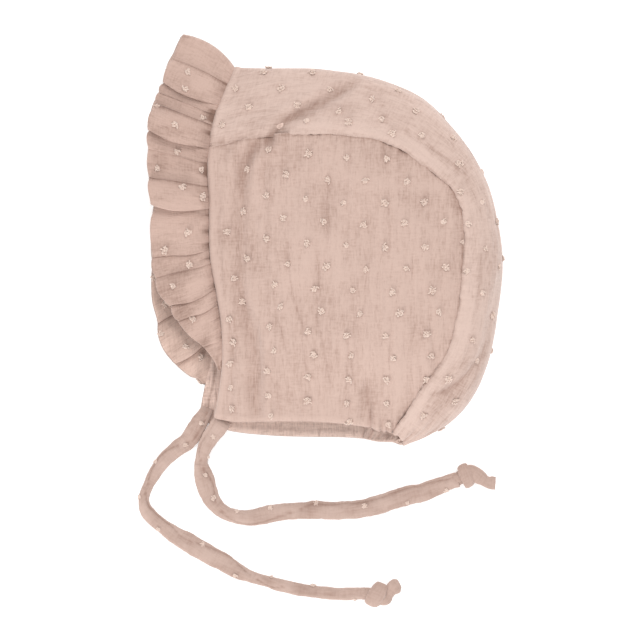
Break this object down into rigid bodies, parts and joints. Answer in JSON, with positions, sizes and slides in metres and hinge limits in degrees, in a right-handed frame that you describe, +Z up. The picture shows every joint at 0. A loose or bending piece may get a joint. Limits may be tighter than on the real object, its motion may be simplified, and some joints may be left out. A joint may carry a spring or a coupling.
{
  "type": "baby bonnet",
  "caption": "Soft cotton baby bonnet with a gathered face frill, a crown strip between shaped side panels and long chin ties, lying flat on its side.",
  "frame": {"origin": "middle of the bonnet's footprint, without its ties, on the surface that it lies on", "axes": "+X towards the back of the head, +Y towards the crown, +Z up from the surface, out of the left side of the bonnet"},
  "size_m": [0.1827, 0.2861, 0.0439],
  "materials": {
    "dotted_gauze": "matte dusty pink double gauze with clipped dots",
    "frill_gauze": "matte dusty pink double gauze, gathered",
    "lining_gauze": "matte plain crinkled gauze",
    "tie_gauze": "matte dusty pink double gauze, rolled flat"
  },
  "bodies": {
    "root": {"left_side_panel": "dotted_gauze", "right_side_panel": "dotted_gauze", "crown_strip": "dotted_gauze", "face_frill": "frill_gauze", "nape_casing": "lining_gauze", "left_tie": "tie_gauze", "right_tie": "tie_gauze", "left_knot": "tie_gauze", "right_knot": "tie_gauze"}
  },
  "joints": []
}
